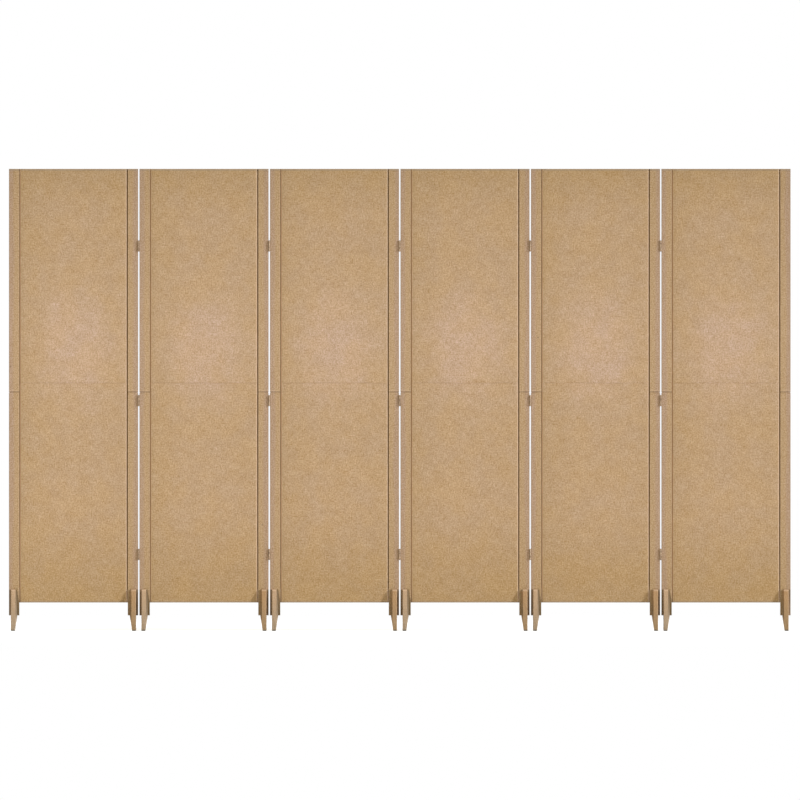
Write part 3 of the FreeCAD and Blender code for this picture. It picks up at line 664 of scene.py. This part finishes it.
def cloth_board(name, tongue_ends, edges, heights, settings, seed):
    """A board with cloth on both faces, as one closed surface.

    A ring of points goes left to right along the front and back again along the rear, with a tongue at
    each side, and is carried up the height. The last rows draw in along a quarter circle, and flat
    caps close the ends.
    """
    radius = settings.edge_radius
    inset, drop = quarter_turn(radius)
    face_x = spaced(edges[0] + radius, edges[1] - radius, settings.column_step)
    face_z = spaced(heights[0] + radius, heights[1] - radius, settings.row_step)
    tongue = np.full(2, settings.tongue_depth / 2)
    x = np.concatenate([[tongue_ends[0], edges[0]], edges[0] + inset, face_x,
                        (edges[1] - inset)[::-1], [edges[1], tongue_ends[1]]])
    z = np.concatenate([heights[0] + inset, face_z, (heights[1] - inset)[::-1]])
    rounded = BOARD_HALF - drop
    half = np.concatenate([tongue, rounded, np.full(face_x.size, BOARD_HALF), rounded[::-1], tongue])
    clothed = np.pad(np.ones(x.size - 2 * tongue.size), tongue.size)
    drawn_in = np.concatenate([drop, np.zeros(face_z.size), drop[::-1]])
    before = tongue.size + drop.size
    face = np.s_[drop.size:drop.size + face_z.size, before:before + face_x.size]
    sides = []
    for number, outward in enumerate((-1, 1)):
        depth = half[None, :] - drawn_in[:, None] * clothed[None, :]
        depth[face] += cloth_relief(face_x, face_z, settings, np.random.default_rng(seed + number))
        sides.append(np.stack([np.broadcast_to(x, depth.shape), outward * depth,
                               np.broadcast_to(z[:, None], depth.shape)], axis=-1))
    front, rear = sides
    ring = np.concatenate([front, rear[:, ::-1]], axis=1)
    faces, across, up = wrap(ring, z)
    mesh = mesh_from_quads(name, ring.reshape(-1, 3), faces)
    shift = CLOTH_SHIFT * seed
    layer = mesh.uv_layers.new(name="cloth")
    layer.data.foreach_set("uv", np.stack([across + shift, up + shift], axis=-1).astype(np.float32).ravel())
    return mesh


def wrap(ring, z):
    """Quads round the ring, up its rows and over both ends, and where each corner lies on the cloth:
    the way round the ring across it and the height up it. An end's caps lie on it by x and y + z.
    """
    rows, around = ring.shape[:2]
    vertices = ring.reshape(-1, 3)
    row, step = np.meshgrid(np.arange(rows - 1), np.arange(around), indexing="ij")
    onward = (step + 1) % around
    walls = np.stack([row * around + step, row * around + onward,
                      (row + 1) * around + onward, (row + 1) * around + step], axis=-1).reshape(-1, 4)
    middle_row = ring[rows // 2, :, :2]
    strides = np.diff(np.vstack([middle_row, middle_row[:1]]), axis=0)
    girth = np.concatenate([[0], np.cumsum(np.hypot(strides[:, 0], strides[:, 1]))])
    wall_across = np.stack([girth[step], girth[step + 1], girth[step + 1], girth[step]], axis=-1)
    wall_up = np.stack([z[row], z[row], z[row + 1], z[row + 1]], axis=-1)

    front = np.arange(around // 2 - 1)
    rear = around - 1 - front
    top = (rows - 1) * around
    bottom_cap = np.stack([front, rear, rear - 1, front + 1], axis=-1)
    top_cap = top + np.stack([front, front + 1, rear - 1, rear], axis=-1)
    caps = np.concatenate([bottom_cap, top_cap])
    corners = vertices[caps.reshape(-1)]
    across = np.concatenate([wall_across.reshape(-1), corners[:, 0]])
    up = np.concatenate([wall_up.reshape(-1), corners[:, 1] + corners[:, 2]])
    return np.concatenate([walls, caps]), across, up


def mesh_from_quads(name, vertices, faces):
    mesh = bpy.data.meshes.new(name)
    mesh.vertices.add(len(vertices))
    mesh.vertices.foreach_set("co", vertices.astype(np.float32).ravel())
    mesh.loops.add(faces.size)
    mesh.loops.foreach_set("vertex_index", faces.astype(np.int32).ravel())
    mesh.polygons.add(len(faces))
    mesh.polygons.foreach_set("loop_start", np.arange(0, faces.size, 4, dtype=np.int32))
    mesh.polygons.foreach_set("use_smooth", np.ones(len(faces), bool))
    mesh.update(calc_edges=True)
    mesh.validate()
    return mesh


def new_piece(mesh, body, slot, material, *nodes):
    """The mesh becomes a piece that rides on its body and stands for its solids."""
    piece = bpy.data.objects.new(mesh.name, mesh)
    bpy.context.scene.collection.objects.link(piece)
    mesh.materials.append(material)
    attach(piece, body)
    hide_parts(*nodes)
    return piece


def dress(names, material):
    """Gives solids of the frame a finish in their own slots."""
    for name in names:
        for slot in frame["nodes"][name].material_slots:
            slot.material = material


def each_panel(*endings):
    return [f"panel_{k}_{ending}" for k in range(1, PANEL_COUNT + 1) for ending in endings]


class SCREEN_OT_stage(bpy.types.Operator):
    """Sets up the camera, the lamps, the even light and the pale floor"""
    bl_idname = "screen.stage"
    bl_label = "Stage"

    def execute(self, context):
        s = context.scene.screen_stage
        scene = context.scene
        scene.view_settings.view_transform = "Standard"
        camera = bpy.data.objects.new("camera", bpy.data.cameras.new("camera"))
        scene.collection.objects.link(camera)
        camera.location = (s.camera_side, -s.camera_distance, s.camera_height)
        camera.rotation_euler = (math.pi / 2, 0, 0)
        camera.data.lens = camera.data.sensor_width * s.camera_distance / s.picture_width
        camera.data.clip_end = 4 * s.camera_distance
        scene.camera = camera
        for name, toward, strength, colour, angle in (
                ("side", (-2.2, 1.0, -0.65), s.side_strength, s.cool, 5),
                ("front", (0.35, 1.4, -1.0), s.front_strength, s.warm, 30),
                ("rear", (0.7, -1.2, -0.8), s.rear_strength, s.warm, 40)):
            lamp = bpy.data.lights.new(name, "SUN")
            lamp.energy = strength
            lamp.color = colour
            lamp.angle = math.radians(angle)
            holder = bpy.data.objects.new(name, lamp)
            scene.collection.objects.link(holder)
            holder.rotation_mode = "QUATERNION"
            holder.rotation_quaternion = Vector(toward).to_track_quat("-Z", "Y")
        self.sky(scene, s)
        self.floor(scene, s)
        return {"FINISHED"}

    def seen_directly(self, w):
        """1 for a ray from the camera, a mirror or clear glass, and 0 for light that fills the scene."""
        path = w.node("ShaderNodeLightPath").outputs
        seen = w.maths("MAXIMUM", path["Is Camera Ray"], path["Is Glossy Ray"])
        return w.maths("MAXIMUM", seen, path["Is Transmission Ray"])

    def sky(self, scene, s):
        world = bpy.data.worlds.new("studio")
        world.use_nodes = True
        scene.world = world
        w = Wiring(world.node_tree)
        background = world.node_tree.nodes["Background"]
        seen = self.seen_directly(w)
        w.feed(background.inputs["Color"], w.mix(seen, s.warm, (1.0, 1.0, 1.0)))
        strength = w.rise(seen, 0.0, 1.0, s.sky_strength, 1.0)
        w.feed(background.inputs["Strength"], strength)

    def floor(self, scene, s):
        """A disc that keeps the screen's shadow and fades into the white background."""
        angle = np.linspace(0, 2 * math.pi, 97)[:-1]
        rim = np.stack([np.cos(angle), np.sin(angle), np.zeros(angle.size)], axis=-1) * s.floor_radius
        mesh = bpy.data.meshes.new("floor")
        mesh.from_pydata(rim.tolist(), [], [list(range(angle.size))])
        floor = bpy.data.objects.new("floor", mesh)
        scene.collection.objects.link(floor)
        floor.location.z = -0.0004
        material, w, surface = finish("pale floor")
        tree = material.node_tree
        surface.inputs["Base Color"].default_value = opaque(s.floor)
        surface.inputs["Roughness"].default_value = 0.9
        surface.inputs["Specular IOR Level"].default_value = 0.1
        glow = w.node("ShaderNodeEmission",
                      inputs={"Strength": w.product(self.seen_directly(w), s.floor_glow)})
        lit = w.node("ShaderNodeAddShader")
        tree.links.new(surface.outputs[0], lit.inputs[0])
        tree.links.new(glow.outputs[0], lit.inputs[1])
        x, y, _ = w.split(w.node("ShaderNodeTexCoord").outputs["Object"])
        fade = w.node("ShaderNodeMixShader", inputs={
            "Fac": w.rise(w.reach(x, y), s.floor_radius * 0.45, s.floor_radius * 0.95)})
        tree.links.new(lit.outputs[0], fade.inputs[1])
        tree.links.new(w.node("ShaderNodeBsdfTransparent").outputs[0], fade.inputs[2])
        tree.links.new(fade.outputs[0], tree.nodes["Material Output"].inputs["Surface"])
        mesh.materials.append(material)


class SCREEN_OT_boards(bpy.types.Operator):
    """Covers every board with cloth, as a closed piece with rounded edges and slubbed relief"""
    bl_idname = "screen.boards"
    bl_label = "Cloth boards"

    def execute(self, context):
        s = context.scene.screen_boards
        cloth = cloth_finish(s)
        for k in range(1, PANEL_COUNT + 1):
            start, end = (corner.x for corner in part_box(f"panel_{k}_stiles_upper"))
            edge = s.stile_width + s.shadow_gap
            for number, (part, heights) in enumerate((("lower", (BOARD_LOW.z, BOARD_SEAM)),
                                                      ("upper", (BOARD_SEAM, SCREEN_TOP)))):
                node = f"panel_{k}_infill_{part}"
                low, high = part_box(node)
                mesh = cloth_board(f"panel_{k}_cloth_{part}", (low.x, high.x),
                                   (start + edge, end - edge), heights, s, 4 * k + 2 * number)
                new_piece(mesh, f"panel_{k}", "woven_infill", cloth, node)
        return {"FINISHED"}


class SCREEN_OT_stiles(bpy.types.Operator):
    """Gives the stiles their veneer"""
    bl_idname = "screen.stiles"
    bl_label = "Stiles"

    def execute(self, context):
        veneer = stile_finish(context.scene.screen_veneer, context.scene.screen_boards.stile_width)
        dress(each_panel("stiles_upper", "stiles_lower"), veneer)
        return {"FINISHED"}


class SCREEN_OT_feet(bpy.types.Operator):
    """Gives the feet their veneer, with its wear and grime"""
    bl_idname = "screen.feet"
    bl_label = "Feet"

    def execute(self, context):
        dress(each_panel("foot_left", "foot_right"), foot_finish(context.scene.screen_veneer))
        return {"FINISHED"}


class SCREEN_OT_hinges(bpy.types.Operator):
    """Gives the hinges and their screws their metals"""
    bl_idname = "screen.hinges"
    bl_label = "Hinges"

    def execute(self, context):
        s = context.scene.screen_metal
        bronze = metal_finish("hinge bronze", s.bronze, s.patina, s.roughness)
        dress(each_panel("hinge_leaves"), bronze)
        dress([f"hinge_{k}_{piece}" for k in range(1, PANEL_COUNT)
               for piece in ("centre_leaves", "pins")], bronze)
        steel = metal_finish("screw steel", s.steel, s.patina, s.roughness - s.screw_polish)
        dress(each_panel("hinge_screws"), steel)
        return {"FINISHED"}


class SCREEN_PT_sidebar(bpy.types.Panel):
    """Sizes, colours and steps of the folding screen"""
    bl_idname = "SCREEN_PT_sidebar"
    bl_label = "Folding screen"
    bl_space_type = "VIEW_3D"
    bl_region_type = "UI"
    bl_category = "Screen"

    def draw(self, context):
        for step in STEPS:
            self.layout.operator(step.bl_idname)
        for name in SETTINGS:
            group = getattr(context.scene, name)
            column = self.layout.column(align=True)
            for field in group.bl_rna.properties.keys():
                if field not in ("rna_type", "name"):
                    column.prop(group, field)


SETTINGS = {"screen_stage": StageSettings, "screen_boards": BoardSettings,
            "screen_veneer": VeneerSettings, "screen_metal": MetalSettings}
STEPS = (SCREEN_OT_stage, SCREEN_OT_boards, SCREEN_OT_stiles, SCREEN_OT_feet, SCREEN_OT_hinges)


def register():
    for made in (*SETTINGS.values(), *STEPS, SCREEN_PT_sidebar):
        bpy.utils.register_class(made)
    for name, group in SETTINGS.items():
        setattr(bpy.types.Scene, name, PointerProperty(type=group))


def unregister():
    for name in SETTINGS:
        delattr(bpy.types.Scene, name)
    for made in (SCREEN_PT_sidebar, *STEPS, *SETTINGS.values()):
        bpy.utils.unregister_class(made)


def main():
    register()
    for step in STEPS:
        kind, name = step.bl_idname.split(".")
        getattr(getattr(bpy.ops, kind), name)()


if __name__ == "__main__":
    main()
